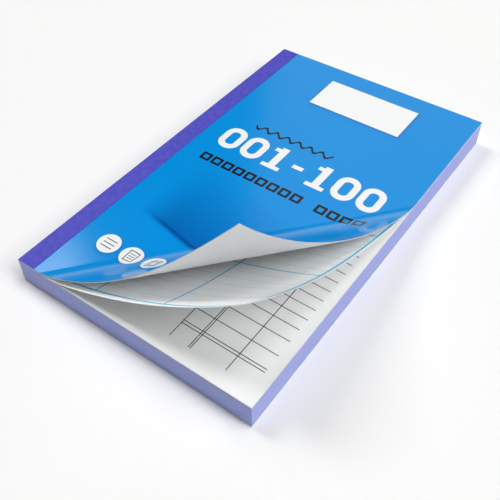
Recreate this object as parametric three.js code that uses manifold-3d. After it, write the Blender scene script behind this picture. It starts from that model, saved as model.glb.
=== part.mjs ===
import * as THREE from 'three';
import { mergeVertices } from 'three/addons/utils/BufferGeometryUtils.js';
import Module from 'manifold-3d';

// A duplicate invoice book, in millimetres: card covers, an index sheet and a hundred sets of a white top copy
// over a yellow duplicate, stapled through the bound margin and taped with cloth round the spine. It lies shut
// on its back cover. The free corner of the front cover and of the index sheet at the foot is curled up.
// While it is built, X runs from the spine to the fore-edge, Y from the foot to the head and Z up.

// Format of the trimmed book, tape included
const width = 127;
const height = 210;

// Stock
const cover_t = 0.4;
const index_t = 0.1;
const leaf_t = 0.066;
const shield_t = 0.3;
const tape_t = 0.3;
const glue_t = 0.2;

// Sets in the book, those whose leaves are made one by one, and those in each sheaf below them
const set_count = 100;
const single_sets = 2;
const sheaf_sets = 10;

// Binding: width of the tape on each cover, and the slit between the bound margin and the leaves that turn
const margin_w = 10;
const bend_gap = 0.3;

// Staples: flat wire, with its crown pressed flush into the front cover and its ends folded in at the back
const wire_w = 0.9;
const wire_t = 0.5;
const crown_l = 12.5;
const clinch_l = 4.6;
const staple_x = 5.6;
const staple_from_end = 42;
const staple_gap = 0.3;

// Writing shield: a loose card, a little smaller than the leaves
const shield_inset = 0.5;
const shield_corner_r = 3;
const shield_from_margin = 1.5;

// Curled corners. A curl bends about straight lines that run from the foot edge to the fore-edge. It starts on
// the line from crease_x on the foot edge to crease_y on the fore-edge, and draw is how far the corner is drawn
// in along the fore-edge.
const cover_crease_x = 13.8;
const cover_crease_y = 133.2;
const cover_draw = 5.7;
const index_crease_x = 20.6;
const index_crease_y = 132.2;
const index_draw = 2.8;

// spring_angle is the sharp first bend of a curl, in radians, over spring_ratio of the way to the corner, and
// roll_angle is the even bend after it. fan_ratio and skew_ratio spread the lines on the fore-edge.
const cover_curl = {
  crease_x: cover_crease_x,
  crease_y: cover_crease_y,
  draw: cover_draw,
  fan_ratio: 0.44,
  skew_ratio: 0.43,
  spring_angle: 0.359,
  spring_ratio: 0.031,
  roll_angle: 1.148,
};
const index_curl = {
  crease_x: index_crease_x,
  crease_y: index_crease_y,
  draw: index_draw,
  fan_ratio: 0.4,
  skew_ratio: -0.55,
  spring_angle: 0.32,
  spring_ratio: 0.027,
  roll_angle: 0.529,
};
const curl_steps = 24;

// Fineness of the shield's round corners, overshoot of a cutter, and how near two points are the same one
const corner_segments = 6;
const overshoot = 1;
const weld_distance = 1e-5;

// Levels, from the table up
const set_t = 2 * leaf_t;
const leaves_z = cover_t;
const back_strip_z = tape_t;
const margin_z = back_strip_z + cover_t;
const shield_z = leaves_z + (set_count - single_sets) * set_t;
const singles_z = shield_z + shield_t;
const index_z = singles_z + single_sets * set_t;
const cover_z = index_z + index_t;
const stubs_z = shield_z;
const index_stub_z = stubs_z + single_sets * set_t;
const front_strip_z = index_stub_z + index_t;
const strip_top_z = front_strip_z + cover_t;

// Places across the book
const spine_x = tape_t + glue_t;
const leaf_x = margin_w + bend_gap;
const bend_x = margin_w + bend_gap / 2;

const materials = {
  cover: new THREE.MeshStandardMaterial({ color: '#1f97e2', roughness: 0.35, metalness: 0 }),
  white_paper: new THREE.MeshStandardMaterial({ color: '#ececec', roughness: 0.85, metalness: 0 }),
  yellow_paper: new THREE.MeshStandardMaterial({ color: '#f3e48c', roughness: 0.85, metalness: 0 }),
  tinted_edges: new THREE.MeshStandardMaterial({ color: '#b0b6ea', roughness: 0.8, metalness: 0 }),
  shield_card: new THREE.MeshStandardMaterial({ color: '#d9cfb8', roughness: 0.8, metalness: 0 }),
  cloth_tape: new THREE.MeshStandardMaterial({ color: '#595ac6', roughness: 0.75, metalness: 0 }),
  glue: new THREE.MeshStandardMaterial({ color: '#e8e2cf', roughness: 0.5, metalness: 0 }),
  wire: new THREE.MeshStandardMaterial({ color: '#b9bcc0', roughness: 0.3, metalness: 1 }),
};

const wasm = await Module();
wasm.setup();

// A rectangle from (x0, y0) to (x1, y1), as a shape or as a hole in one
function rectangle(x0, y0, x1, y1, Outline = THREE.Shape) {
  const outline = new Outline();
  outline.moveTo(x0, y0);
  outline.lineTo(x1, y0);
  outline.lineTo(x1, y1);
  outline.lineTo(x0, y1);
  outline.closePath();
  return outline;
}

// A shape in plan, raised from z0 by its thickness
function slab(shape, z0, thickness) {
  const how = { depth: thickness, bevelEnabled: false, curveSegments: corner_segments };
  const geometry = new THREE.ExtrudeGeometry(shape, how);
  return geometry.translate(0, 0, z0);
}

// Middle of each staple along the spine
const staple_ys = [staple_from_end, height - staple_from_end];

// Holes for the two legs of each staple
function leg_holes() {
  const half_x = wire_w / 2 + staple_gap;
  const half_y = wire_t / 2 + staple_gap;
  const holes = [];
  for (const middle of staple_ys) {
    for (const side of [-1, 1]) {
      const y = middle + side * (crown_l - wire_t) / 2;
      holes.push(rectangle(staple_x - half_x, y - half_y, staple_x + half_x, y + half_y, THREE.Path));
    }
  }
  return holes;
}

// Slots in a cover's bound strip, where a crown or the folded ends of a staple lie
function staple_slots() {
  const half_x = wire_w / 2 + staple_gap;
  const half_y = crown_l / 2 + staple_gap;
  return staple_ys.map((y) =>
    rectangle(staple_x - half_x, y - half_y, staple_x + half_x, y + half_y, THREE.Path));
}

// The bound strip of a sheet, under the tape, with its staple holes
function bound_strip(z0, thickness, holes) {
  const shape = rectangle(spine_x, 0, margin_w, height);
  shape.holes = holes;
  return slab(shape, z0, thickness);
}

// The free part of a flat sheet, from the bend to the fore-edge
function free_leaf(z0, thickness) {
  return slab(rectangle(leaf_x, 0, width, height), z0, thickness);
}

// Whole sets lying flat, bound margin included
function sheaf(z0, thickness) {
  const shape = rectangle(spine_x, 0, width, height);
  shape.holes = leg_holes();
  return slab(shape, z0, thickness);
}

// A closed three.js geometry as a solid that can be cut
function to_solid(geometry) {
  const bare = geometry.clone();
  bare.deleteAttribute('normal');
  bare.deleteAttribute('uv');
  const welded = mergeVertices(bare, weld_distance);
  return new wasm.Manifold(new wasm.Mesh({
    numProp: 3,
    vertProperties: new Float32Array(welded.attributes.position.array),
    triVerts: new Uint32Array(welded.index.array),
  }));
}

// The solid back as a three.js geometry
function to_geometry(solid) {
  const mesh = solid.getMesh();
  const geometry = new THREE.BufferGeometry();
  geometry.setAttribute('position', new THREE.BufferAttribute(new Float32Array(mesh.vertProperties), 3));
  geometry.setIndex(new THREE.BufferAttribute(new Uint32Array(mesh.triVerts), 1));
  geometry.computeVertexNormals();
  return geometry;
}

// The lowest sheaf: the staples press its margin up by what the tape and the back strip need there
function pressed_sheaf(z0, thickness) {
  const plan = rectangle(-overshoot, -overshoot, bend_x, height + overshoot);
  const press = slab(plan, z0 - overshoot, margin_z - z0 + overshoot);
  return to_geometry(to_solid(sheaf(z0, thickness)).subtract(to_solid(press)));
}

// Angle of the curl at a share of the way from its crease to the corner
function curl_angle(curl, share) {
  return curl.spring_angle * (1 - Math.exp(-share / curl.spring_ratio)) + curl.roll_angle * share;
}

// The lines that a curl bends about, on the sheet's top face: each one's end on the foot edge and on the
// fore-edge, where the curl carries them, and the way the flat panel after it faces. Every panel is turned
// about the line before it, on top of the turns before that, so no panel is stretched.
function curl_lines(curl, top_z) {
  const crease_foot = new THREE.Vector3(curl.crease_x, 0, 0);
  const crease_fore = new THREE.Vector3(width, curl.crease_y, 0);
  const corner = new THREE.Vector3(width, curl.draw, 0);
  const carried = new THREE.Matrix4().makeTranslation(0, 0, top_z);
  const lines = [];
  let turned = 0;
  for (let step = 0; step < curl_steps; step += 1) {
    const share = step / curl_steps;
    const spread = share * (1 - share) * (curl.fan_ratio + curl.skew_ratio * (2 * share - 1));
    const foot = crease_foot.clone().lerp(corner, share);
    const fore = crease_fore.clone().lerp(corner, share + spread);
    const line = { foot: foot.clone().applyMatrix4(carried), fore: fore.clone().applyMatrix4(carried) };
    const angle = curl_angle(curl, (step + 0.5) / curl_steps);
    const axis = foot.clone().sub(fore).normalize();
    carried.multiply(new THREE.Matrix4().makeTranslation(foot.x, foot.y, foot.z));
    carried.multiply(new THREE.Matrix4().makeRotationAxis(axis, angle - turned));
    carried.multiply(new THREE.Matrix4().makeTranslation(-foot.x, -foot.y, -foot.z));
    turned = angle;
    line.facing = new THREE.Vector3(0, 0, 1).transformDirection(carried);
    lines.push(line);
  }
  return { lines, corner: corner.clone().applyMatrix4(carried) };
}

// A sheet from the bend to the fore-edge with its foot corner curled: the top face, the under face a
// thickness below it, and the cut edge between them. The thickness is mitred at each line.
function curled_leaf(z0, thickness, curl) {
  const { lines, corner } = curl_lines(curl, z0 + thickness);
  const points = [];
  const add = (top, inward) => {
    points.push(top, top.clone().addScaledVector(inward, -thickness));
    return points.length - 2;
  };
  const up = new THREE.Vector3(0, 0, 1);
  const flat = (x, y) => add(new THREE.Vector3(x, y, z0 + thickness), up);
  const spine_foot = flat(leaf_x, 0);
  const fore_head = flat(width, height);
  const spine_head = flat(leaf_x, height);
  const foot = [];
  const fore = [];
  let before = up;
  for (const line of lines) {
    const mitre = before.clone().add(line.facing).divideScalar(1 + before.dot(line.facing));
    foot.push(add(line.foot, mitre));
    fore.push(add(line.fore, mitre));
    before = line.facing;
  }
  const tip = add(corner, before);

  const faces = [];
  const both_faces = (a, b, c) => faces.push([a, b, c], [a + 1, c + 1, b + 1]);
  both_faces(spine_foot, foot[0], fore[0]);
  both_faces(spine_foot, fore[0], fore_head);
  both_faces(spine_foot, fore_head, spine_head);
  for (let step = 0; step + 1 < lines.length; step += 1) {
    both_faces(foot[step], foot[step + 1], fore[step + 1]);
    both_faces(foot[step], fore[step + 1], fore[step]);
  }
  both_faces(foot[foot.length - 1], tip, fore[fore.length - 1]);

  const edge = [spine_foot, ...foot, tip, ...fore.reverse(), fore_head, spine_head];
  edge.forEach((a, place) => {
    const b = edge[(place + 1) % edge.length];
    faces.push([a + 1, b + 1, b], [a + 1, b, a]);
  });

  const geometry = new THREE.BufferGeometry();
  geometry.setAttribute('position', new THREE.Float32BufferAttribute(points.flatMap((p) => p.toArray()), 3));
  geometry.setIndex(faces.flat());
  geometry.computeVertexNormals();
  return geometry;
}

// A card with round corners, clear of the bound margin and of the trimmed edges
function shield_card() {
  const x0 = margin_w + shield_from_margin;
  const x1 = width - shield_inset;
  const y0 = shield_inset;
  const y1 = height - shield_inset;
  const r = shield_corner_r;
  const shape = new THREE.Shape();
  shape.moveTo(x0 + r, y0);
  shape.lineTo(x1 - r, y0);
  shape.absarc(x1 - r, y0 + r, r, -Math.PI / 2, 0, false);
  shape.lineTo(x1, y1 - r);
  shape.absarc(x1 - r, y1 - r, r, 0, Math.PI / 2, false);
  shape.lineTo(x0 + r, y1);
  shape.absarc(x0 + r, y1 - r, r, Math.PI / 2, Math.PI, false);
  shape.lineTo(x0, y0 + r);
  shape.absarc(x0 + r, y0 + r, r, Math.PI, 1.5 * Math.PI, false);
  return slab(shape, shield_z, shield_t);
}

// A profile in X and Z, drawn out along Y
function along_spine(profile, y0, length) {
  const geometry = new THREE.ExtrudeGeometry(profile, { depth: length, bevelEnabled: false });
  return geometry.rotateX(Math.PI / 2).translate(0, y0 + length, 0);
}

// The cloth tape: one strip folded round the spine on to both covers
function spine_tape() {
  const profile = new THREE.Shape();
  profile.moveTo(0, 0);
  profile.lineTo(margin_w, 0);
  profile.lineTo(margin_w, tape_t);
  profile.lineTo(tape_t, tape_t);
  profile.lineTo(tape_t, strip_top_z);
  profile.lineTo(margin_w, strip_top_z);
  profile.lineTo(margin_w, strip_top_z + tape_t);
  profile.lineTo(0, strip_top_z + tape_t);
  profile.closePath();
  return along_spine(profile, 0, height);
}

// The glue that holds the trimmed spine together under the tape
function spine_glue() {
  return along_spine(rectangle(tape_t, tape_t, spine_x, strip_top_z), 0, height);
}

// A staple in Y and Z: crown in the front strip, two legs, and the ends folded in along the back strip
function staple(middle) {
  const outer = crown_l / 2;
  const inner = outer - wire_t;
  const folded = outer - clinch_l;
  const low = back_strip_z;
  const profile = new THREE.Shape();
  profile.moveTo(-folded, low);
  profile.lineTo(-outer, low);
  profile.lineTo(-outer, strip_top_z);
  profile.lineTo(outer, strip_top_z);
  profile.lineTo(outer, low);
  profile.lineTo(folded, low);
  profile.lineTo(folded, margin_z);
  profile.lineTo(inner, margin_z);
  profile.lineTo(inner, front_strip_z);
  profile.lineTo(-inner, front_strip_z);
  profile.lineTo(-inner, margin_z);
  profile.lineTo(-folded, margin_z);
  profile.closePath();
  const geometry = new THREE.ExtrudeGeometry(profile, { depth: wire_w, bevelEnabled: false });
  geometry.rotateX(Math.PI / 2).rotateZ(Math.PI / 2);
  return geometry.translate(staple_x - wire_w / 2, middle, 0);
}

// Everything is placed with its origin under the middle of the book, on the table
const book = new THREE.Group();
book.position.set(-width / 2, -height / 2, 0);

function add_piece(name, geometry, material) {
  const mesh = new THREE.Mesh(geometry, material);
  mesh.name = name;
  book.add(mesh);
}

const three_digits = (count) => String(count).padStart(3, '0');

// Back cover, and the strip of it that is bound in
add_piece('back_cover', free_leaf(0, cover_t), materials.cover);
add_piece('back_cover_strip', bound_strip(back_strip_z, cover_t, staple_slots()), materials.cover);

// Sheaves of whole sets, from the last one up to those whose leaves are made one by one
let sheaf_z = leaves_z;
for (let last = set_count; last > single_sets; last -= sheaf_sets) {
  const first = Math.max(last - sheaf_sets, single_sets) + 1;
  const sheaf_t = (last - first + 1) * set_t;
  const make = last === set_count ? pressed_sheaf : sheaf;
  const name = `sets_${three_digits(first)}_to_${three_digits(last)}`;
  add_piece(name, make(sheaf_z, sheaf_t), materials.tinted_edges);
  sheaf_z += sheaf_t;
}

add_piece('writing_shield', shield_card(), materials.shield_card);

// The first sets, leaf by leaf, each with its stub in the binding
for (let set = single_sets; set >= 1; set -= 1) {
  const below = (single_sets - set) * set_t;
  const number = three_digits(set);
  const copies = [
    ['duplicate', below, materials.yellow_paper],
    ['top_copy', below + leaf_t, materials.white_paper],
  ];
  for (const [copy, rise, material] of copies) {
    add_piece(`invoice_${number}_${copy}`, free_leaf(singles_z + rise, leaf_t), material);
    add_piece(`invoice_${number}_${copy}_stub`, bound_strip(stubs_z + rise, leaf_t, leg_holes()), material);
  }
}

// Index sheet and front cover, with their curled corners
add_piece('index_sheet', curled_leaf(index_z, index_t, index_curl), materials.white_paper);
add_piece('index_sheet_stub', bound_strip(index_stub_z, index_t, leg_holes()), materials.white_paper);
add_piece('front_cover', curled_leaf(cover_z, cover_t, cover_curl), materials.cover);
add_piece('front_cover_strip', bound_strip(front_strip_z, cover_t, staple_slots()), materials.cover);

// Binding
add_piece('spine_glue', spine_glue(), materials.glue);
add_piece('spine_tape', spine_tape(), materials.cloth_tape);
staple_ys.forEach((y, place) => add_piece(`staple_${place + 1}`, staple(y), materials.wire));

export default book;
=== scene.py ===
import itertools
import math

import bmesh
import bpy
import numpy as np
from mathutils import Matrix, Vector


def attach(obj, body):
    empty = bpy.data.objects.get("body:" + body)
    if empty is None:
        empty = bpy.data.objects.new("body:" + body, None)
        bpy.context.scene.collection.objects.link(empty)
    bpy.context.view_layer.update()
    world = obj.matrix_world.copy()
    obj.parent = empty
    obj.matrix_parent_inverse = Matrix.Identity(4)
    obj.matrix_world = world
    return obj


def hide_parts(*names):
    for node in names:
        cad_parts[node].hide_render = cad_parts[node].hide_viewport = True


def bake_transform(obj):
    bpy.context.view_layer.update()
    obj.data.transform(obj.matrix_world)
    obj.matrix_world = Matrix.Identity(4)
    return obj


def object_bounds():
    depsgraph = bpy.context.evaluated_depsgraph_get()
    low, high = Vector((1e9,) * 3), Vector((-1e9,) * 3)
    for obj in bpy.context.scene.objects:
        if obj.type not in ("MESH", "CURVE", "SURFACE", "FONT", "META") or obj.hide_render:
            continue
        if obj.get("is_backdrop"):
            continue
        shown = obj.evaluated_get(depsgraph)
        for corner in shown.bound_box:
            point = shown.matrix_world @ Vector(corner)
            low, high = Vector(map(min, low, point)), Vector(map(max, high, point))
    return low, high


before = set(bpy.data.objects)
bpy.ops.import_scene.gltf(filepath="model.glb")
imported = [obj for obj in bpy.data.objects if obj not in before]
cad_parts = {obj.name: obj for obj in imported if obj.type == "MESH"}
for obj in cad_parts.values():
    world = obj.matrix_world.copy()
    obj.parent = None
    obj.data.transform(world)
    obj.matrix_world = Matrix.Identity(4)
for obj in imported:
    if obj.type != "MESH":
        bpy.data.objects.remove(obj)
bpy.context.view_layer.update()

# Back cover. A sheet of 0.4 mm board, printed blue and laminated on the outside, bare white inside. Its bound
# strip is stapled to the block and lies under the tape, 0.3 mm higher than the free part that turns. The board
# bends beside the tape, so one sheet runs through the bend from the binding to the fore-edge.
mm = 0.001
width, height = 127.0, 210.0
spine_x, tape_x = 0.5, 10.0               # the trimmed spine, and the edge of the tape
step_end_x, bend_end_x = 10.3, 13.5       # how far the margin's step and the bend reach past the tape
board_t, tape_t = 0.4, 0.3


def book_to_frame(points):
    """Millimetres from the foot of the spine on the table, in metres from the middle of the footprint."""
    return (np.asarray(points, float) - (width / 2, height / 2, 0)) * mm


def linear(hex_colour):
    """An sRGB hex colour as linear red, green, blue and full alpha."""
    srgb = np.array([int(hex_colour[i:i + 2], 16) for i in (1, 3, 5)]) / 255
    return (*np.where(srgb <= 0.04045, srgb / 12.92, ((srgb + 0.055) / 1.055) ** 2.4), 1.0)


def add_node(tree, kind, inputs=(), **settings):
    """Adds a node with its settings. Each input, by name or place, is set to a value or linked to a socket."""
    node = tree.nodes.new(kind)
    for name, value in settings.items():
        setattr(node, name, value)
    for name, value in dict(inputs).items():
        if isinstance(value, bpy.types.NodeSocket):
            tree.links.new(value, node.inputs[name])
        else:
            node.inputs[name].default_value = value
    return node


def new_material(name, **finish):
    """A material with one shader on it, whose constants are set straight on its sockets."""
    material = bpy.data.materials.new(name)
    material.use_nodes = True
    tree = material.node_tree
    shader = tree.nodes["Principled BSDF"]
    for socket, value in finish.items():
        shader.inputs[socket.replace("_", " ")].default_value = value
    return material, tree, shader


def paper_fibres(tree, shader, colour, spread, grain_mm, relief_mm, print_on=None):
    """Matted fibres: the sum of two noises, one of the grain's size and one twenty times coarser for uneven
    formation, lies between 0.6 and 1.4 and varies the colour by spread, and the grain stands up by relief.
    print_on is where ink lies over the paper, and its colour."""
    place = add_node(tree, "ShaderNodeTexCoord").outputs["Object"]
    cloud_mm = 20 * grain_mm
    grain = add_node(tree, "ShaderNodeTexNoise", {"Vector": place, "Scale": 1 / (grain_mm * mm), "Detail": 3})
    cloud = add_node(tree, "ShaderNodeTexNoise", {"Vector": place, "Scale": 1 / (cloud_mm * mm), "Detail": 2})
    both = add_node(tree, "ShaderNodeMath", {0: grain.outputs["Fac"], 1: cloud.outputs["Fac"]},
                    operation="ADD")
    value = add_node(tree, "ShaderNodeMapRange", {"Value": both.outputs[0], "From Min": 0.6, "From Max": 1.4,
                                                  "To Min": 1 - spread, "To Max": 1 + spread})
    tint = add_node(tree, "ShaderNodeMix", {"Factor": 1.0, 6: colour, 7: value.outputs["Result"]},
                    data_type="RGBA", blend_type="MULTIPLY")
    result = tint.outputs[2]
    if print_on:
        ink, ink_colour = print_on
        result = add_node(tree, "ShaderNodeMix", {"Factor": ink, 6: result, 7: ink_colour},
                          data_type="RGBA").outputs[2]
    tree.links.new(result, shader.inputs["Base Color"])
    bump = add_node(tree, "ShaderNodeBump", {"Height": grain.outputs["Fac"], "Distance": relief_mm * mm,
                                             "Strength": 0.6})
    tree.links.new(bump.outputs["Normal"], shader.inputs["Normal"])


def flat_lines(foot_x, far_x, far_y):
    """The lines that a sheet is ruled by, on the flat sheet: their ends on the foot edge and their far ends."""
    foot = np.stack([foot_x, np.zeros_like(foot_x)], 1)
    return foot, np.stack([far_x, far_y], 1)


# Where the lines cross the foot edge: in the bound margin, in the bend beside the tape, and in the free part
bound_x = np.array([spine_x, 4.0, 8.0, tape_x, 10.1, 10.2, step_end_x])
bend_x = np.linspace(step_end_x, bend_end_x, 24)[1:]
across_x = np.linspace(bend_end_x, width, 30)[1:]


def plain_sheet_lines():
    """Lines square to the foot edge, close together in the bend beside the tape."""
    x = np.concatenate([bound_x, bend_x, across_x])
    return flat_lines(x, x, np.full_like(x, height))


def margin_step(points, rise):
    """Lifts the bound margin by rise, and brings the sheet back to its own level beside the tape. Of the way
    there, share, 1 - share^2 (3 - 2 share) of the rise is left."""
    share = np.clip((points[..., 0] - tape_x) / (step_end_x - tape_x), 0, 1)
    points[..., 2] += rise * (1 - share * share * (3 - 2 * share))
    return points


def make_sheet(name, foot, far, frames, thickness, margin_rise, materials, rows=36):
    """A sheet between its top face and its under face. A point of the top face is foot + (far - foot) v, moved
    by its line's frame. The under face lies a thickness below it along the mitre of the two panels that meet
    at the line, (n0 + n1) / (1 + n0.n1). The UV map is the place on the flat sheet, in metres."""
    v = np.linspace(0, 1, rows)
    flat = foot[:, None, :] + (far - foot)[:, None, :] * v[None, :, None]
    spread = np.concatenate([flat, np.zeros_like(flat[..., :1]), np.ones_like(flat[..., :1])], 2)
    top = np.einsum("kij,krj->kri", frames, spread)[..., :3]
    facing = frames[:, :3, 2]
    before = np.concatenate([facing[:1], facing[:-1]])
    mitre = (before + facing) / (1 + (before * facing).sum(1, keepdims=True))
    under = top - thickness * mitre[:, None, :]
    top, under = margin_step(top, margin_rise), margin_step(under, margin_rise)
    return make_shell(name, top, under, flat * mm, materials)


def make_shell(name, top, under, uv, materials):
    """Joins two like grids of points into one closed shell: the top grid's cells, the under grid's cells turned
    over, and a strip of cells round the rim. Each of the three has its own material."""
    lines, rows = top.shape[:2]
    count = lines * rows
    index = np.arange(count).reshape(lines, rows)
    a, b, c, d = index[:-1, :-1], index[1:, :-1], index[1:, 1:], index[:-1, 1:]
    upper = np.stack([a, b, c, d], -1).reshape(-1, 4)
    lower = np.stack([a, d, c, b], -1).reshape(-1, 4) + count
    rim = np.concatenate([index[:-1, 0], index[-1, :-1], index[:0:-1, -1], index[0, :0:-1]])
    after = np.roll(rim, -1)
    side = np.stack([rim + count, after + count, after, rim], -1)
    faces = np.concatenate([upper, lower, side])
    mesh = bpy.data.meshes.new(name)
    points = book_to_frame(np.concatenate([top.reshape(-1, 3), under.reshape(-1, 3)]))
    mesh.from_pydata(points, [], faces)
    kind = np.repeat([0, 1, 2], [len(upper), len(lower), len(side)])
    mesh.polygons.foreach_set("material_index", kind)
    mesh.polygons.foreach_set("use_smooth", np.ones(len(faces), bool))
    places = np.concatenate([uv.reshape(-1, 2)] * 2)[faces.ravel()]
    mesh.uv_layers.new(name="flat_sheet").data.foreach_set("uv", places.ravel())
    for material in materials:
        mesh.materials.append(material)

    # The lines of a curl meet at its tip, where their points become one
    merge_mm, sharp_degrees = 1e-3, 50
    shell = bmesh.new()
    shell.from_mesh(mesh)
    bmesh.ops.remove_doubles(shell, verts=shell.verts, dist=merge_mm * mm)
    shell.to_mesh(mesh)
    shell.free()
    mesh.set_sharp_from_angle(angle=math.radians(sharp_degrees))
    piece = bpy.data.objects.new(name, mesh)
    bpy.context.scene.collection.objects.link(piece)
    return piece


def turn_at_tape(piece):
    """Bakes the piece's place into its points. It is not attached to a body, so the free part does not turn."""
    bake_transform(piece)


def level_frames(lines, top_z):
    """The same frame for each line of a flat sheet: only raised to its level."""
    frames = np.tile(np.eye(4), (lines, 1, 1))
    frames[:, 2, 3] = top_z
    return frames


# White-lined board: the grey-white inside of both covers, faintly mottled, with no shine
bare_board, tree, shader = new_material("bare_white_board", Roughness=0.62, IOR=1.45)
paper_fibres(tree, shader, linear("#f7f8f8"), 0.02, 0.35, 0.02)

# Its cut edge shows the grey core between the printed face and the lining
board_edge, tree, shader = new_material("cut_board_edge", Roughness=0.8, IOR=1.45)
paper_fibres(tree, shader, linear("#c8cbd2"), 0.06, 0.12, 0.02)

# Gloss-laminated print. The film over the ink gives clear highlights, and the board below lets it ripple a
# little: the film's orange peel is about 0.6 mm across
blue_ink = linear("#0293e3")


def film_ripple(tree, shader):
    """The gloss film's relief: a fine noise for its orange peel, over a broad one for the board's sway."""
    peel_mm, sway_mm = 0.6, 45
    place = add_node(tree, "ShaderNodeTexCoord").outputs["Object"]
    peel = add_node(tree, "ShaderNodeTexNoise", {"Vector": place, "Scale": 1 / (peel_mm * mm), "Detail": 2})
    sway = add_node(tree, "ShaderNodeTexNoise", {"Vector": place, "Scale": 1 / (sway_mm * mm), "Detail": 1})
    fine = add_node(tree, "ShaderNodeBump", {"Height": peel.outputs["Fac"], "Distance": 0.004 * mm,
                                             "Strength": 0.5})
    broad = add_node(tree, "ShaderNodeBump", {"Height": sway.outputs["Fac"], "Distance": 0.2 * mm,
                                              "Strength": 0.4, "Normal": fine.outputs["Normal"]})
    tree.links.new(broad.outputs["Normal"], shader.inputs["Coat Normal"])


def ink_variation(tree, colour):
    """Printed ink that varies by 2 % over the rosette of a 0.3 mm screen and by 3 % over the sheet."""
    place = add_node(tree, "ShaderNodeTexCoord").outputs["Object"]
    parts = []
    for size, spread in ((0.3, 0.02), (45, 0.03)):
        noise = add_node(tree, "ShaderNodeTexNoise", {"Vector": place, "Scale": 1 / (size * mm), "Detail": 1})
        parts.append(add_node(tree, "ShaderNodeMapRange", {"Value": noise.outputs["Fac"], "To Min": 1 - spread,
                                                           "To Max": 1 + spread}).outputs["Result"])
    both = add_node(tree, "ShaderNodeMath", {0: parts[0], 1: parts[1]}, operation="MULTIPLY")
    return add_node(tree, "ShaderNodeMix", {"Factor": 1.0, 6: colour, 7: both.outputs[0]},
                    data_type="RGBA", blend_type="MULTIPLY").outputs[2]


laminate_finish = {"Roughness": 0.45, "IOR": 1.5, "Coat_Weight": 1.0, "Coat_Roughness": 0.14, "Coat_IOR": 1.5,
                   "Specular_IOR_Level": 0.0}
plain_laminate, tree, shader = new_material("laminated_blue_print", **laminate_finish)
film_ripple(tree, shader)
tree.links.new(ink_variation(tree, blue_ink), shader.inputs["Base Color"])

foot, far = plain_sheet_lines()
back_cover = make_sheet("back_cover_board", foot, far, level_frames(len(foot), board_t), board_t, tape_t,
                        [bare_board, plain_laminate, board_edge])
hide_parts("back_cover", "back_cover_strip")
turn_at_tape(back_cover)

# Block of sets 003 to 100. Ten sheaves of white top copies over yellow duplicates, stapled and glued at the
# spine and trimmed on three sides in one cut. The dye of the edges and the knife's marks run over all leaves.
leaf_t = 0.066
shield_t = 0.3
margin_pressed_z = tape_t + board_t


def measured(tree):
    """The place on the flat sheet in millimetres, from the sheet's own UV map."""
    uv = add_node(tree, "ShaderNodeUVMap", uv_map="flat_sheet").outputs["UV"]
    in_mm = add_node(tree, "ShaderNodeVectorMath", {0: uv, 1: (1000, 1000, 1000)}, operation="MULTIPLY")
    return in_mm.outputs[0]


def printed_shape(tree, place, centre, half, corner, blur=0.06):
    """1 inside a rectangle with round corners and 0 outside: how far the place lies from the rectangle that is
    smaller by the corner's radius all round, set against that radius, with an edge as wide as blur."""
    near, far = corner - blur / 2, corner + blur / 2
    offset = add_node(tree, "ShaderNodeVectorMath", {0: place, 1: (*centre, 0)}, operation="SUBTRACT")
    folded = add_node(tree, "ShaderNodeVectorMath", {0: offset.outputs[0]}, operation="ABSOLUTE")
    core = (half[0] - corner, half[1] - corner, 0)
    beyond = add_node(tree, "ShaderNodeVectorMath", {0: folded.outputs[0], 1: core}, operation="SUBTRACT")
    clear = add_node(tree, "ShaderNodeVectorMath", {0: beyond.outputs[0], 1: (0, 0, 0)}, operation="MAXIMUM")
    distance = add_node(tree, "ShaderNodeVectorMath", {0: clear.outputs[0]}, operation="LENGTH")
    inside = add_node(tree, "ShaderNodeMapRange", {"Value": distance.outputs["Value"], "From Min": near,
                                                   "From Max": far, "To Min": 1, "To Max": 0})
    return inside.outputs[0]


def printed_line(tree, place, start, end, weight):
    """A ruled line along the sheet or across it: a thin rectangle with ends as round as its weight allows."""
    centre = ((start[0] + end[0]) / 2, (start[1] + end[1]) / 2)
    half = (abs(end[0] - start[0]) / 2 + weight / 2, abs(end[1] - start[1]) / 2 + weight / 2)
    return printed_shape(tree, place, centre, half, weight / 2, 0.04)


def together(tree, factors, operation="MAXIMUM"):
    """All the factors joined two by two, by their largest or by another operation."""
    joined = factors[0]
    for factor in factors[1:]:
        joined = add_node(tree, "ShaderNodeMath", {0: joined, 1: factor}, operation=operation).outputs[0]
    return joined


def ruled_rows(tree, place, first_y, pitch, weight, left, right, low, high):
    """Lines of one weight every pitch, from the first: the height over it is folded back and forth between 0
    and half a pitch, which is the distance from the nearest line. A rectangle bounds them."""
    y = add_node(tree, "ShaderNodeSeparateXYZ", {0: place}).outputs["Y"]
    over = add_node(tree, "ShaderNodeMath", {0: y, 1: first_y}, operation="SUBTRACT")
    near = add_node(tree, "ShaderNodeMath", {0: over.outputs[0], 1: pitch / 2}, operation="PINGPONG")
    edge, blur = weight / 2, 0.02
    line = add_node(tree, "ShaderNodeMapRange", {"Value": near.outputs[0], "From Min": edge - blur,
                                                 "From Max": edge + blur, "To Min": 1, "To Max": 0})
    centre, half = ((left + right) / 2, (low + high) / 2), ((right - left) / 2, (high - low) / 2)
    within = printed_shape(tree, place, centre, half, 0.1, 0.05)
    return add_node(tree, "ShaderNodeMath", {0: line.outputs[0], 1: within}, operation="MULTIPLY").outputs[0]


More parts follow.
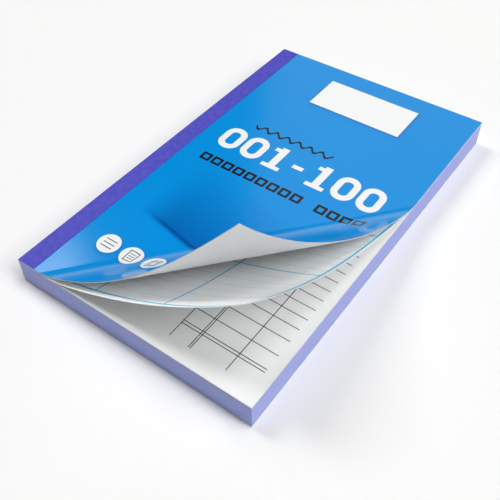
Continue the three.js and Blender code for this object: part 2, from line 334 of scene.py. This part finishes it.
def invoice_ruling(tree, place):
    """The form: rows every 6 mm, a wide column and two money columns, and at the foot the boxes for the sums,
    with doubled rules. Above them are the boxes for the address and the date. All in millimetres."""
    thin, left, right, low, high = 0.4, 16, 122, 7.6, 142.3
    sums_x, sums_y, total_x, date_x = 80.85, 33.05, 80.6, 90
    rows = ruled_rows(tree, place, 40.0, 6.02, thin, left, right, 38, 139)
    level = [                                             # each from x to x, at y
        (sums_x, right, sums_y), (sums_x, right, 24.8), (total_x, right, 17.0), (total_x, right, 15.5),
        (left, sums_x, sums_y), (left, right, high), (left, right, 149.5),
        (left, 78, 160), (left, 78, 168), (left, 78, 176), (date_x, right, 168), (date_x, right, 176),
    ]
    upright = [                                           # each at x, from y to y
        (109.2, 7.8, high), (90.6, low, high), (91.6, low, high), (sums_x, 7.8, sums_y),
        (left, sums_y, 149.5), (date_x, 168, 176), (right, 168, 176),
    ]
    lines = [printed_line(tree, place, (start, y), (end, y), thin) for start, end, y in level]
    lines += [printed_line(tree, place, (x, start), (x, end), thin) for x, start, end in upright]
    return together(tree, [rows, *lines])


form_ink = linear("#222427")


def form_paper(name, colour, printed=True):
    """Thin bond paper for carbonless copies: smooth, barely mottled and matt. The form's ink lies on it."""
    material, tree, shader = new_material(name, Roughness=0.7, IOR=1.45)
    ink = (invoice_ruling(tree, measured(tree)), form_ink) if printed else None
    paper_fibres(tree, shader, linear(colour), 0.012, 0.25, 0.012, ink)
    return material


white_form = form_paper("white_form_paper", "#f6f7f7")
yellow_form = form_paper("yellow_form_paper", "#f3e592")
white_reverse = form_paper("white_paper_reverse", "#f7f8f8", printed=False)
yellow_reverse = form_paper("yellow_paper_reverse", "#f1e6a2", printed=False)

# Trimmed edges: hundreds of leaf edges with a lavender tint. A leaf is 0.066 mm, too fine to show, so the
# streaks along the block are drawn 0.4 mm thick. The knife's marks cross them, 0.5 mm apart
trimmed_edge, tree, shader = new_material("trimmed_tinted_edge", Roughness=0.75, IOR=1.45)
streak_t, streak_l, mark_t, mark_l = 0.4, 25, 0.5, 40
per_streak = [1 / (size * mm) for size in (streak_l, streak_l, streak_t)]
per_mark = [1 / (size * mm) for size in (mark_t, mark_t, mark_l)]
place = add_node(tree, "ShaderNodeTexCoord").outputs["Object"]
along = add_node(tree, "ShaderNodeVectorMath", {0: place, 1: per_streak}, operation="MULTIPLY")
across = add_node(tree, "ShaderNodeVectorMath", {0: place, 1: per_mark}, operation="MULTIPLY")
streaks = add_node(tree, "ShaderNodeTexNoise", {"Vector": along.outputs[0], "Scale": 1.0, "Detail": 4})
marks = add_node(tree, "ShaderNodeTexNoise", {"Vector": across.outputs[0], "Scale": 1.0, "Detail": 2})
shade = add_node(tree, "ShaderNodeMapRange", {"Value": streaks.outputs["Fac"], "From Min": 0.3,
                                              "From Max": 0.7})
tint = add_node(tree, "ShaderNodeMix", {"Factor": shade.outputs[0], 6: linear("#a4adec"),
                                        7: linear("#b1baf6")}, data_type="RGBA")
cut = add_node(tree, "ShaderNodeMapRange", {"Value": marks.outputs["Fac"], "From Min": 0.3, "From Max": 0.7,
                                            "To Min": 0.97, "To Max": 1.03})
scored = add_node(tree, "ShaderNodeMix", {"Factor": 1.0, 6: tint.outputs[2], 7: cut.outputs[0]},
                  data_type="RGBA", blend_type="MULTIPLY")
tree.links.new(scored.outputs[2], shader.inputs["Base Color"])
ridges = add_node(tree, "ShaderNodeBump", {"Height": streaks.outputs["Fac"], "Distance": 0.03 * mm,
                                           "Strength": 0.5})
tree.links.new(ridges.outputs["Normal"], shader.inputs["Normal"])


leaf_shift = 0.03                         # how far trimmed leaves step in and out
random_inset = np.random.default_rng(7)


def make_sheaf(name, low_z, high_z, pressed_z=None):
    """A sheaf of leaves: a grid over the page for its top and one for its under face. The trimmed rim between
    them steps in and out by up to leaf_shift. pressed_z is the level that the margin is pressed up to."""
    x = np.concatenate([[spine_x, 5.0, tape_x, step_end_x], np.linspace(bend_end_x, width, 12)])
    y = np.linspace(0, height, 22)
    plan = np.stack(np.meshgrid(x, y, indexing="ij"), -1)
    inset = random_inset.uniform(0, leaf_shift, 2)
    layers = []
    for z, pulled in ((high_z, inset[0]), (low_z, inset[1])):
        flat = plan.copy()
        flat[..., 0] = np.minimum(flat[..., 0], width - pulled)
        flat[..., 1] = np.clip(flat[..., 1], pulled, height - pulled)
        layers.append(np.concatenate([flat, np.full_like(flat[..., :1], z)], 2))
    if pressed_z is not None:
        layers[1] = margin_step(layers[1], pressed_z - low_z)
    return make_shell(name, *layers, plan * mm, [white_form, yellow_reverse, trimmed_edge])


# From the back cover up. The staples press up the margin of the lowest sheaf, and the top one ends at set 003
sheaf_z = board_t
for last in range(100, 2, -10):
    first = max(last - 9, 3)
    top_z = sheaf_z + (last - first + 1) * 2 * leaf_t
    node = f"sets_{first:03d}_to_{last:03d}"
    pressed_z = margin_pressed_z if last == 100 else None
    sheaf = make_sheaf(f"sheaf_{first:03d}_to_{last:03d}", sheaf_z, top_z, pressed_z)
    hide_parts(node)
    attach(sheaf, "book_block")
    sheaf_z = top_z

# Writing shield. A loose card of stout manila board behind the sets in use, with die-cut round corners. It
# keeps the writing off the sets below. Manila board is matt and buff, with long fibres that mottle it.
manila, tree, shader = new_material("manila_board", Roughness=0.7, IOR=1.45)
paper_fibres(tree, shader, linear("#d8cdb2"), 0.05, 0.4, 0.03)
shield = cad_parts["writing_shield"]
shield.data.materials.clear()
shield.data.materials.append(manila)

# Invoices 002 and 001. Each is a yellow duplicate under a white top copy, single leaves of 0.066 mm that bend
# beside the tape. Their stubs lie in the binding, 0.3 mm lower than the leaves, which lie over the shield.
copies = {"duplicate": [yellow_form, yellow_reverse, trimmed_edge],
          "top_copy": [white_form, white_reverse, trimmed_edge]}
leaf_z = sheaf_z + shield_t
for number in ("002", "001"):
    for copy, finishes in copies.items():
        leaf_z += leaf_t
        node = f"invoice_{number}_{copy}"
        frames = level_frames(len(foot), leaf_z)
        leaf = make_sheet(f"leaf_{number}_{copy}", foot, far, frames, leaf_t, -shield_t, finishes)
        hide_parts(node, node + "_stub")
        turn_at_tape(leaf)

# Index sheet. One white leaf of 0.1 mm under the front cover, ruled in blue in three columns of blocks of
# seven rows. Its free corner at the foot is curled up. A curl of paper bends about straight lines, and it
# never stretches.
index_t = 0.1
curl_count = 110                          # lines in a curl
head_count, fore_count = 15, 8            # flat lines that end on the head, and on the fore-edge
trim_loss = 0.02                          # keeps a curled sheet within the trimmed edge of the block


def curl_angle(curl, share):
    """How far the curl has turned at a share of the way to its corner: spring (1 - e^(-share / spring_share)),
    which is a quick bend at the crease, and roll share, which is an even roll."""
    return curl["spring"] * (1 - np.exp(-share / curl["spring_share"])) + curl["roll"] * share


def curled_sheet_lines(curl):
    """Flat lines up to the crease: square to the foot edge in the binding and the bend, then a fan whose far
    ends go along the head and down the fore-edge. Past the crease the foot ends run to the corner, and the far
    ends follow faster by share (1 - share) (fan + skew (2 share - 1)). Also gives the share, which is 0 up to
    the crease, and how many lines are flat."""
    crease_x, crease_y, draw = curl["crease_x"], curl["crease_y"], curl["draw"]
    bound, fore_x = np.concatenate([bound_x, bend_x]), width - trim_loss
    head_x = np.linspace(bend_end_x, fore_x, head_count + 1)[1:]
    fore_y = np.linspace(height, crease_y, fore_count + 1)[1:]
    fan_foot = np.linspace(bend_end_x, crease_x, head_count + fore_count + 1)[1:]
    share = np.linspace(0, 1, curl_count + 1)[1:]
    spread = share * (1 - share) * (curl["fan"] + curl["skew"] * (2 * share - 1))
    foot_x = np.concatenate([bound, fan_foot, crease_x + (fore_x - crease_x) * share])
    foot_y = np.concatenate([np.zeros(len(bound) + len(fan_foot)), draw * share])
    far_x = np.concatenate([bound, head_x, np.full(len(fore_y) + curl_count, fore_x)])
    far_y = np.concatenate([np.full(len(bound) + len(head_x), height), fore_y,
                            crease_y + (draw - crease_y) * (share + spread)])
    flat_count = len(bound) + len(fan_foot)
    return (np.stack([foot_x, foot_y], 1), np.stack([far_x, far_y], 1),
            np.concatenate([np.zeros(flat_count), share]), flat_count)


def curl_frames(curl, foot, far, share, flat_count, top_z):
    """Each line's frame is the one before it, turned about the line by what the curl turns there. By Rodrigues,
    a turn about the unit axis k by angle a is 1 + sin a K + (1 - cos a) K K, where K is k's cross product. The
    angle of a panel is taken half way between its two lines."""
    first = flat_count - 1
    step_share = np.append(share[first:], 2 - share[-2])
    middle = (step_share[1:] + step_share[:-1]) / 2
    turn = np.diff(curl_angle(curl, middle[:-1]), prepend=0)
    axis = foot[first:-1] - far[first:-1]
    kx, ky = (axis / np.linalg.norm(axis, axis=1, keepdims=True)).T
    zero = np.zeros_like(kx)
    cross = np.stack([zero, zero, ky, zero, zero, -kx, -ky, kx, zero], 1).reshape(-1, 3, 3)
    sine, cosine = np.sin(turn)[:, None, None], np.cos(turn)[:, None, None]
    local = np.tile(np.eye(4), (len(turn), 1, 1))
    local[:, :3, :3] += sine * cross + (1 - cosine) * cross @ cross
    pivot = np.concatenate([foot[first:-1], zero[:, None]], 1)
    local[:, :3, 3] = pivot - np.einsum("kij,kj->ki", local[:, :3, :3], pivot)
    raised = level_frames(1, top_z)[0]
    carried = list(itertools.accumulate(local, np.matmul, initial=raised))[1:]
    return np.concatenate([level_frames(first, top_z), carried, carried[-1:]])


def make_curled_sheet(name, curl, top_z, thickness, margin_rise, materials):
    """A sheet whose free foot corner is curled up: its flat lines, their frames, and the faces between them."""
    foot, far, share, flat_count = curled_sheet_lines(curl)
    frames = curl_frames(curl, foot, far, share, flat_count, top_z)
    return make_sheet(name, foot, far, frames, thickness, margin_rise, materials)


# The crease runs from x on the foot edge to y on the fore-edge, and the spring and the roll are in radians
index_curl = {"crease_x": 20.6, "crease_y": 132.2, "draw": 2.8, "fan": 0.4, "skew": -0.55, "spring": 0.32,
              "spring_share": 0.027, "roll": 0.529}
index_top_z = leaf_z + index_t

# Bond paper, printed in one blue: fine rows, stronger lines between the blocks and a frame round the table
index_paper, tree, shader = new_material("ruled_index_paper", Roughness=0.7, IOR=1.45)
place = measured(tree)
row_pitch, block_rows, column_places = 6.7, 7, (14, 44.6, 84.6)
left, right, low, high = column_places[0], 125.2, 4.1, 204
feint = ruled_rows(tree, place, low, row_pitch, 0.26, left, right, low, high + 1)
blocks = ruled_rows(tree, place, low, row_pitch * block_rows, 0.62, left, right, low, high + 1)
columns = [printed_line(tree, place, (x, low), (x, high), 0.75) for x in column_places]
border = [printed_line(tree, place, (right, low), (right, high), 0.95),
          printed_line(tree, place, (left, low), (right, low), 0.85)]
pale = add_node(tree, "ShaderNodeMath", {0: feint, 1: 0.45}, operation="MULTIPLY").outputs[0]
ruling = together(tree, [pale, blocks, *columns, *border])
paper_fibres(tree, shader, linear("#fafbfb"), 0.012, 0.25, 0.012, (ruling, linear("#00bce6")))

index_sheet = make_curled_sheet("index_leaf", index_curl, index_top_z, index_t, -shield_t,
                                [index_paper, white_reverse, white_reverse])
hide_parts("index_sheet", "index_sheet_stub")
turn_at_tape(index_sheet)

# Front cover. The same board and film as the back cover, printed with a bare label, set numbers, a row of form
# boxes and three badges. Its free corner at the foot is curled up nearly upright and shows the white inside.
cover_curl = {"crease_x": 13.8, "crease_y": 133.2, "draw": 5.7, "fan": 0.44, "skew": 0.43, "spring": 0.359,
              "spring_share": 0.031, "roll": 1.148}
cover_top_z = index_top_z + board_t

# The same gloss laminate. What lies over the blue is listed from the first to the last, each as where it lies
# and
# its colour: a painted shadow first, then the inks of the print
cover_print_and_painted_shadow, tree, shader = new_material("laminated_cover_print", **laminate_finish)
film_ripple(tree, shader)
place = measured(tree)
prints_and_painted_shadow = []
shadow_blue, badge_white, dark_ink = linear("#0a3f86"), linear("#f8f9fa"), linear("#1c1a1d")


def ring(tree, place, centre, half, corner, stroke):
    """A rounded rectangle with a like one taken out of it, a stroke smaller all round."""
    outer = printed_shape(tree, place, centre, half, corner)
    inner = printed_shape(tree, place, centre, (half[0] - stroke, half[1] - stroke), max(corner - stroke, 0.1))
    return together(tree, [outer, inner], "SUBTRACT")


def nought(tree, place, x, low, high):
    """A broad slab figure nought: a ring as wide as it is round."""
    half_width, corner, stroke = 6.1, 5.9, 3.5
    return ring(tree, place, (x, (low + high) / 2), (half_width, (high - low) / 2), corner, stroke)


def figure_one(tree, place, x, low, high):
    """A slab figure one: a stem on a foot, with a flag at its top left."""
    stem_x, middle, slab = x + 0.3, (low + high) / 2, 1.3
    stem = printed_shape(tree, place, (stem_x, middle), (2.0, (high - low) / 2), 0.2)
    base = printed_shape(tree, place, (stem_x, low + slab), (5.2, slab), 0.2)
    flag = printed_shape(tree, place, (x - 2.2, high - 2.9), (2.4, slab), 0.2)
    return together(tree, [stem, base, flag])


# A painted shadow in darker blue on the cover beside the curled corner, drawn into the print. Its edge runs
# along y = 61.5 - 0.2 x, where it is deepest, and it fades toward the head over 47 mm and toward the tape
# between x 42 and 19
slope, edge_y = 0.2, 61.5
split = add_node(tree, "ShaderNodeSeparateXYZ", {0: place})
over = add_node(tree, "ShaderNodeMath", {0: split.outputs["X"], 1: slope, 2: -edge_y}, operation="MULTIPLY_ADD")
above_edge = add_node(tree, "ShaderNodeMath", {0: over.outputs[0], 1: split.outputs["Y"]}, operation="ADD")
above = above_edge.outputs[0]
painted_shadow_fade = add_node(tree, "ShaderNodeMapRange", {"Value": above, "From Min": 2, "From Max": 47, "To Min": 0.5,
                                             "To Max": 0})
core = add_node(tree, "ShaderNodeMapRange", {"Value": above, "From Min": 0.6, "From Max": 1.6, "To Min": 0.22,
                                             "To Max": 0}, interpolation_type="SMOOTHSTEP")
painted_shadow_depth = add_node(tree, "ShaderNodeMath", {0: painted_shadow_fade.outputs[0], 1: core.outputs[0]}, operation="ADD")
begun = add_node(tree, "ShaderNodeMapRange", {"Value": above, "From Min": -2.7, "From Max": 0.2},
                 interpolation_type="SMOOTHSTEP")
inward = add_node(tree, "ShaderNodeMapRange", {"Value": split.outputs["X"], "From Min": 19, "From Max": 42},
                  interpolation_type="SMOOTHSTEP")
# The painted shadow's strength: its depth, where it begins at its edge, and how far it reaches from the tape
shade = together(tree, [painted_shadow_depth.outputs[0], begun.outputs[0], inward.outputs[0]], "MULTIPLY")
prints_and_painted_shadow.append((shade, linear("#00007a")))

# Bare white label with its printed drop shadow
label_shadow = printed_shape(tree, place, (69.6, 184.4), (27.4, 12.8), 1.2, 2.6)
faint_shadow = add_node(tree, "ShaderNodeMath", {0: label_shadow, 1: 0.42}, operation="MULTIPLY").outputs[0]
label = printed_shape(tree, place, (69.0, 185.3), (27.0, 12.4), 0.2)
prints_and_painted_shadow += [(faint_shadow, shadow_blue), (label, linear("#fbfcfc"))]

# The numbers of the first and the last set, in white figures
low_y, high_y, pitch_x, first_x, hyphen_y = 114.2, 131.6, 14.0, 26.6, 122.4
figures = [nought(tree, place, first_x + step * pitch_x, low_y, high_y) for step in (0, 1, 4.85, 5.85)]
figures += [figure_one(tree, place, first_x + step * pitch_x, low_y, high_y) for step in (2, 3.85)]
figures += [printed_shape(tree, place, (first_x + 2.9 * pitch_x, hyphen_y), (3.0, 1.3), 0.2)]
prints_and_painted_shadow.append((together(tree, figures), badge_white))

# A dark wave above them, y = wave_y + 1.5 sin(x / 1.1), and under them a row of open form boxes, 9 and 4
wave_y, wave_rise, wave_run = 138.3, 1.5, 1.1
phase = add_node(tree, "ShaderNodeMath", {0: split.outputs["X"], 1: 1 / wave_run}, operation="MULTIPLY")
swing = add_node(tree, "ShaderNodeMath", {0: phase.outputs[0]}, operation="SINE")
crest = add_node(tree, "ShaderNodeMath", {0: swing.outputs[0], 1: wave_rise, 2: wave_y},
                 operation="MULTIPLY_ADD")
apart = add_node(tree, "ShaderNodeMath", {0: split.outputs["Y"], 1: crest.outputs[0]}, operation="SUBTRACT")
away = add_node(tree, "ShaderNodeMath", {0: apart.outputs[0]}, operation="ABSOLUTE")
wave = add_node(tree, "ShaderNodeMapRange", {"Value": away.outputs[0], "From Min": 0.75, "From Max": 0.95,
                                             "To Min": 1, "To Max": 0})
span = printed_shape(tree, place, (54.0, wave_y), (23.5, 4), 0.5)
prints_and_painted_shadow.append((together(tree, [wave.outputs[0], span], "MULTIPLY"), dark_ink))

pitch, box_x, box_y, box_half, box_stroke = 6.8, 24.3, 103.4, 2.85, 1.45
row_start = (box_x - pitch / 2, 0, 0)
shifted = add_node(tree, "ShaderNodeVectorMath", {0: place, 1: row_start}, operation="SUBTRACT")
repeated = add_node(tree, "ShaderNodeVectorMath", {0: shifted.outputs[0], 1: (pitch, 1000, 1000)},
                    operation="MODULO")
boxes = ring(tree, repeated.outputs[0], (pitch / 2, box_y), (box_half, box_half), 0.6, box_stroke)
nine_boxes = printed_shape(tree, place, (box_x + 4 * pitch, box_y), (4.5 * pitch, 4), 0.3)
four_boxes = printed_shape(tree, place, (box_x + 11.5 * pitch, box_y), (2 * pitch, 4), 0.3)
both_rows = together(tree, [nine_boxes, four_boxes])
prints_and_painted_shadow.append((together(tree, [boxes, both_rows], "MULTIPLY"), dark_ink))

# Three white badges with a soft printed shadow: an index, a form and a stack of sheets, in thin lines
badge_places, badge_r, shadow_r = ((26.3, 30.2), (40.0, 30.0), (53.9, 29.7)), 5.7, 6.4
for x, y in badge_places:
    shadow = printed_shape(tree, place, (x + 0.5, y - 0.8), (shadow_r, shadow_r), shadow_r, 1.6)
    faint_shadow = add_node(tree, "ShaderNodeMath", {0: shadow, 1: 0.3}, operation="MULTIPLY").outputs[0]
    prints_and_painted_shadow.append((faint_shadow, shadow_blue))
badges = [printed_shape(tree, place, centre, (badge_r, badge_r), badge_r) for centre in badge_places]
prints_and_painted_shadow.append((together(tree, badges), badge_white))
(index_x, index_y), (form_x, form_y), (stack_x, stack_y) = badge_places
signs = [printed_line(tree, place, (index_x - 3, index_y + rise), (index_x + 3, index_y + rise), 0.5)
         for rise in (-2.2, 0, 2.2)]
signs += [ring(tree, place, (form_x, form_y), (2.7, 3.4), 0.3, 0.45)]
signs += [printed_line(tree, place, (form_x - 1.5, form_y + rise), (form_x + 1.5, form_y + rise), 0.35)
          for rise in (-1.4, 0, 1.4)]
signs += [ring(tree, place, (stack_x + shift, stack_y + shift + 0.1), (2.2, 2.8), 0.3, 0.45)
          for shift in (-0.6, 0.5)]
prints_and_painted_shadow.append((together(tree, signs), linear("#3c3f45")))

colour = ink_variation(tree, blue_ink)
for ink, ink_colour in prints_and_painted_shadow:
    colour = add_node(tree, "ShaderNodeMix", {"Factor": ink, 6: colour, 7: ink_colour},
                      data_type="RGBA").outputs[2]
tree.links.new(colour, shader.inputs["Base Color"])

front_cover = make_curled_sheet("front_cover_board", cover_curl, cover_top_z, board_t, -shield_t,
                                [cover_print_and_painted_shadow, bare_board, board_edge])
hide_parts("front_cover", "front_cover_strip")
turn_at_tape(front_cover)

# Glue and staples. The trimmed spine is held by a film of cold glue, and two staples of flat steel wire go
# through the margin. All of it lies under the tape.

# Cold glue dries to a hard, cream-coloured film that shines dully over the leaf edges
glue_film, tree, shader = new_material("dried_spine_glue", Roughness=0.4, IOR=1.47)
paper_fibres(tree, shader, linear("#e6dfc8"), 0.08, 0.5, 0.05)
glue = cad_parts["spine_glue"]
glue.data.materials.clear()
glue.data.materials.append(glue_film)

# Bright steel wire, rolled flat. The rolls leave fine scratches along it, 9 to the millimetre and 3.3 mm long
staple_wire, tree, shader = new_material("flat_steel_wire", Metallic=1.0, Roughness=0.32)
per_scratch = [count / mm for count in (9, 0.3, 9)]
place = add_node(tree, "ShaderNodeTexCoord").outputs["Object"]
drawn = add_node(tree, "ShaderNodeVectorMath", {0: place, 1: per_scratch}, operation="MULTIPLY")
scratches = add_node(tree, "ShaderNodeTexNoise", {"Vector": drawn.outputs[0], "Scale": 1.0, "Detail": 2})
steel = add_node(tree, "ShaderNodeMix", {"Factor": scratches.outputs["Fac"], 6: linear("#a9acb0"),
                                         7: linear("#d0d2d5")}, data_type="RGBA")
tree.links.new(steel.outputs[2], shader.inputs["Base Color"])
for node in ("staple_1", "staple_2"):
    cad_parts[node].data.materials.clear()
    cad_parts[node].data.materials.append(staple_wire)

# Spine tape. Bookbinding cloth, dyed purple-blue and coated, pasted round the spine and 10 mm on to each
# cover. It is one strip, so its profile is a channel with small round folds, drawn along the spine.
book_top_z = cover_top_z                  # the tape on the bound strip is flush with the free cover


def arc(centre, radius, start, end, count):
    """Points on a circle from one angle to another, in degrees: the centre and the radius times (cos, sin)."""
    angle = np.radians(np.linspace(start, end, count))
    return np.stack([centre[0] + radius * np.cos(angle), centre[1] + radius * np.sin(angle)], 1)


def tape_profile():
    """Outer and inner line of the tape in X and Z, point for point: along the back cover, round the two folds
    of the spine and out over the front cover. The inner line lies a tape's thickness inside the outer one."""
    fold, flat_count, fold_count = 0.45, 12, 7
    small, high_fold = fold - tape_t, (fold, book_top_z - fold)
    under_x, over_x = np.linspace(tape_x, fold, flat_count), np.linspace(fold, tape_x, flat_count)
    rise = np.linspace(fold, high_fold[1], flat_count)
    level = np.ones(flat_count)
    sides = []
    for inset, radius in ((0, fold), (tape_t, small)):
        sides.append(np.concatenate([
            np.stack([under_x, inset * level], 1), arc((fold, fold), radius, -90, -180, fold_count)[1:],
            np.stack([inset * level, rise], 1)[1:], arc(high_fold, radius, 180, 90, fold_count)[1:],
            np.stack([over_x, (book_top_z - inset) * level], 1)[1:]]))
    return sides


outer, inner = tape_profile()
along_y = np.linspace(0, height, 60)
tape_faces = []
for line in (outer, inner):
    grid = np.empty((len(line), len(along_y), 3))
    grid[..., 0], grid[..., 1], grid[..., 2] = line[:, :1], along_y, line[:, 1:]
    tape_faces.append(grid)
length = np.concatenate([[0], np.cumsum(np.linalg.norm(np.diff(outer, axis=0), axis=1))])
tape_uv = np.stack(np.meshgrid(length * mm, along_y * mm, indexing="ij"), -1)

# Woven cotton under a dull coating. Its threads are 0.3 mm apart, too fine to show, so the weave is drawn with
# threads every 0.9 mm, and the dye pools in patches of 3 mm
binding_cloth, tree, shader = new_material("coated_binding_cloth", Roughness=0.62, IOR=1.45)
place = measured(tree)
thread, fuzz_mm, pool_mm = 0.9, 0.7, 3.0
both_ways = []
for axis in ("X", "Y"):
    part = add_node(tree, "ShaderNodeSeparateXYZ", {0: place}).outputs[axis]
    turns = add_node(tree, "ShaderNodeMath", {0: part, 1: 2 * math.pi / thread}, operation="MULTIPLY")
    both_ways.append(add_node(tree, "ShaderNodeMath", {0: turns.outputs[0]}, operation="SINE").outputs[0])
weave = together(tree, both_ways, "MULTIPLY")
fuzz = add_node(tree, "ShaderNodeTexNoise", {"Vector": place, "Scale": 1 / fuzz_mm, "Detail": 3})
pools = add_node(tree, "ShaderNodeTexNoise", {"Vector": place, "Scale": 1 / pool_mm, "Detail": 2})
relief = add_node(tree, "ShaderNodeMath", {0: weave, 1: 0.25, 2: fuzz.outputs["Fac"]},
                  operation="MULTIPLY_ADD")
mottle = add_node(tree, "ShaderNodeMath", {0: relief.outputs[0], 1: pools.outputs["Fac"]}, operation="ADD")
shade = add_node(tree, "ShaderNodeMapRange", {"Value": mottle.outputs[0], "From Min": 0.6, "From Max": 1.4})
dye = add_node(tree, "ShaderNodeMix", {"Factor": shade.outputs[0], 6: linear("#3a3fb3"), 7: linear("#5c53cc")},
               data_type="RGBA")
tree.links.new(dye.outputs[2], shader.inputs["Base Color"])
bump = add_node(tree, "ShaderNodeBump", {"Height": relief.outputs[0], "Distance": 0.06 * mm, "Strength": 0.7})
tree.links.new(bump.outputs["Normal"], shader.inputs["Normal"])

tape = make_shell("binding_tape", *tape_faces, tape_uv, [binding_cloth] * 3)
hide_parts("spine_tape")
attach(tape, "book_block")

# Studio. A white table top that melts into a white room, soft lights from the fore-edge side, from above and
# from the spine side, and two pale cards that the gloss film mirrors. The camera has a 50 mm lens.

# Matt white paint with a stipple of 4 mm. It clears between 0.5 and 1.6 m from the book, so that the ground has
# no dark edge in a low view, and the white room shows there instead
table_paint, tree, shader = new_material("white_table_paint", Roughness=0.9, IOR=1.45)
place = add_node(tree, "ShaderNodeTexCoord").outputs["Object"]
stipple = add_node(tree, "ShaderNodeTexNoise", {"Vector": place, "Scale": 1 / (4 * mm), "Detail": 2})
paint = add_node(tree, "ShaderNodeMix", {"Factor": stipple.outputs["Fac"], 6: linear("#fbfbfa"),
                                         7: linear("#fdfdfc")}, data_type="RGBA")
tree.links.new(paint.outputs[2], shader.inputs["Base Color"])
away = add_node(tree, "ShaderNodeVectorMath", {0: place}, operation="LENGTH")
melt_start, melt_end = 0.5, 1.6
melted = add_node(tree, "ShaderNodeMapRange", {"Value": away.outputs["Value"], "From Min": melt_start,
                                               "From Max": melt_end}, interpolation_type="SMOOTHSTEP")
clear = add_node(tree, "ShaderNodeBsdfTransparent")
surface = add_node(tree, "ShaderNodeMixShader", {0: melted.outputs[0], 1: shader.outputs[0],
                                                 2: clear.outputs[0]})
tree.links.new(surface.outputs[0], tree.nodes["Material Output"].inputs["Surface"])
reach = (-6.0, 6.0)
table_grid = np.stack(np.meshgrid(reach, reach, [0.0], indexing="ij"), -1).reshape(4, 3)
table_mesh = bpy.data.meshes.new("table_top")
table_mesh.from_pydata(table_grid, [], [(0, 2, 3, 1)])
table_mesh.materials.append(table_paint)
table_top = bpy.data.objects.new("table_top", table_mesh)
bpy.context.scene.collection.objects.link(table_top)
table_top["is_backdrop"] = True

# The room is white to the camera, and to gloss and glass near the horizon, where low views show it. Higher up
# gloss mirrors it dim, which keeps the film's blue deep. The book is lit by the dim room. A height in it is the
# sine of the elevation: the white in the gloss fades from 2 to 14 degrees, the dim light from 17 to 38
world = bpy.data.worlds.new("dim_room")
world.use_nodes = True
bpy.context.scene.world = world
tree = world.node_tree
room = tree.nodes["Background"]
white = linear("#ffffff")
room.inputs["Color"].default_value = white
way = add_node(tree, "ShaderNodeTexCoord").outputs["Generated"]
upward = add_node(tree, "ShaderNodeSeparateXYZ", {0: way}).outputs["Z"]
glow = add_node(tree, "ShaderNodeMapRange", {"Value": upward, "From Min": 0.30, "From Max": 0.62,
                                             "To Min": 0.08, "To Max": 0.02}, interpolation_type="SMOOTHSTEP")
tree.links.new(glow.outputs[0], room.inputs["Strength"])
seen = add_node(tree, "ShaderNodeBackground", {"Color": white, "Strength": 1.0})
ray = add_node(tree, "ShaderNodeLightPath")
near_horizon = add_node(tree, "ShaderNodeMapRange", {"Value": upward, "From Min": 0.04, "From Max": 0.24,
                                                     "To Min": 1, "To Max": 0}, interpolation_type="SMOOTHSTEP")
mirrored = together(tree, [ray.outputs["Is Glossy Ray"], ray.outputs["Is Transmission Ray"]])
mirrored_white = together(tree, [mirrored, near_horizon.outputs[0]], "MULTIPLY")
shown_white = together(tree, [ray.outputs["Is Camera Ray"], mirrored_white])
choice = add_node(tree, "ShaderNodeMixShader", {0: shown_white, 1: room.outputs[0], 2: seen.outputs[0]})
tree.links.new(choice.outputs[0], tree.nodes["World Output"].inputs["Surface"])


def add_light(name, azimuth, elevation, distance, size, power):
    """A rectangular soft light that faces the book, level with the table along its width. Its azimuth is
    counted from the fore-edge side toward the head. It stands at the distance times (cos rise cos turn,
    cos rise sin turn, sin rise)."""
    lamp = bpy.data.lights.new(name, "AREA")
    lamp.shape = "RECTANGLE"
    lamp.size, lamp.size_y = size
    lamp.energy = power
    light = bpy.data.objects.new(name, lamp)
    turn, rise = math.radians(azimuth), math.radians(elevation)
    light.location = distance * np.array([math.cos(rise) * math.cos(turn), math.cos(rise) * math.sin(turn),
                                          math.sin(rise)])
    light.rotation_euler = (math.pi / 2 - rise, 0, turn + math.pi / 2)
    bpy.context.scene.collection.objects.link(light)


# Azimuth and elevation in degrees, distance and size in metres, and watts. The last two are faint, and are
# there for the gloss film of the cover to mirror
add_light("fore_edge_softbox", 6, 47, 6.4, (2.30, 3.66), 203)
add_light("overhead_softbox", 52, 71, 6.0, (2.40, 2.80), 123)
add_light("spine_side_softbox", 179, 51, 6.4, (1.40, 2.38), 129)
add_light("sheen_card", 154, 51, 6.4, (0.96, 1.58), 23)
add_light("white_card_behind_head", 112, 39, 6.4, (2.38, 2.48), 10.5)

# Its place and its turn are fitted to the corners of the book as the photo shows them
camera_data = bpy.data.cameras.new("camera")
camera_data.sensor_width = 36
camera_data.lens = 50.1
camera = bpy.data.objects.new("camera", camera_data)
camera.location = (0.14125, -0.21023, 0.24156)
camera.rotation_euler = [math.radians(angle) for angle in (42.71, 0.505, 35.84)]
bpy.context.scene.collection.objects.link(camera)
bpy.context.scene.camera = camera
bpy.context.scene.view_settings.view_transform = "Standard"

low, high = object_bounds()
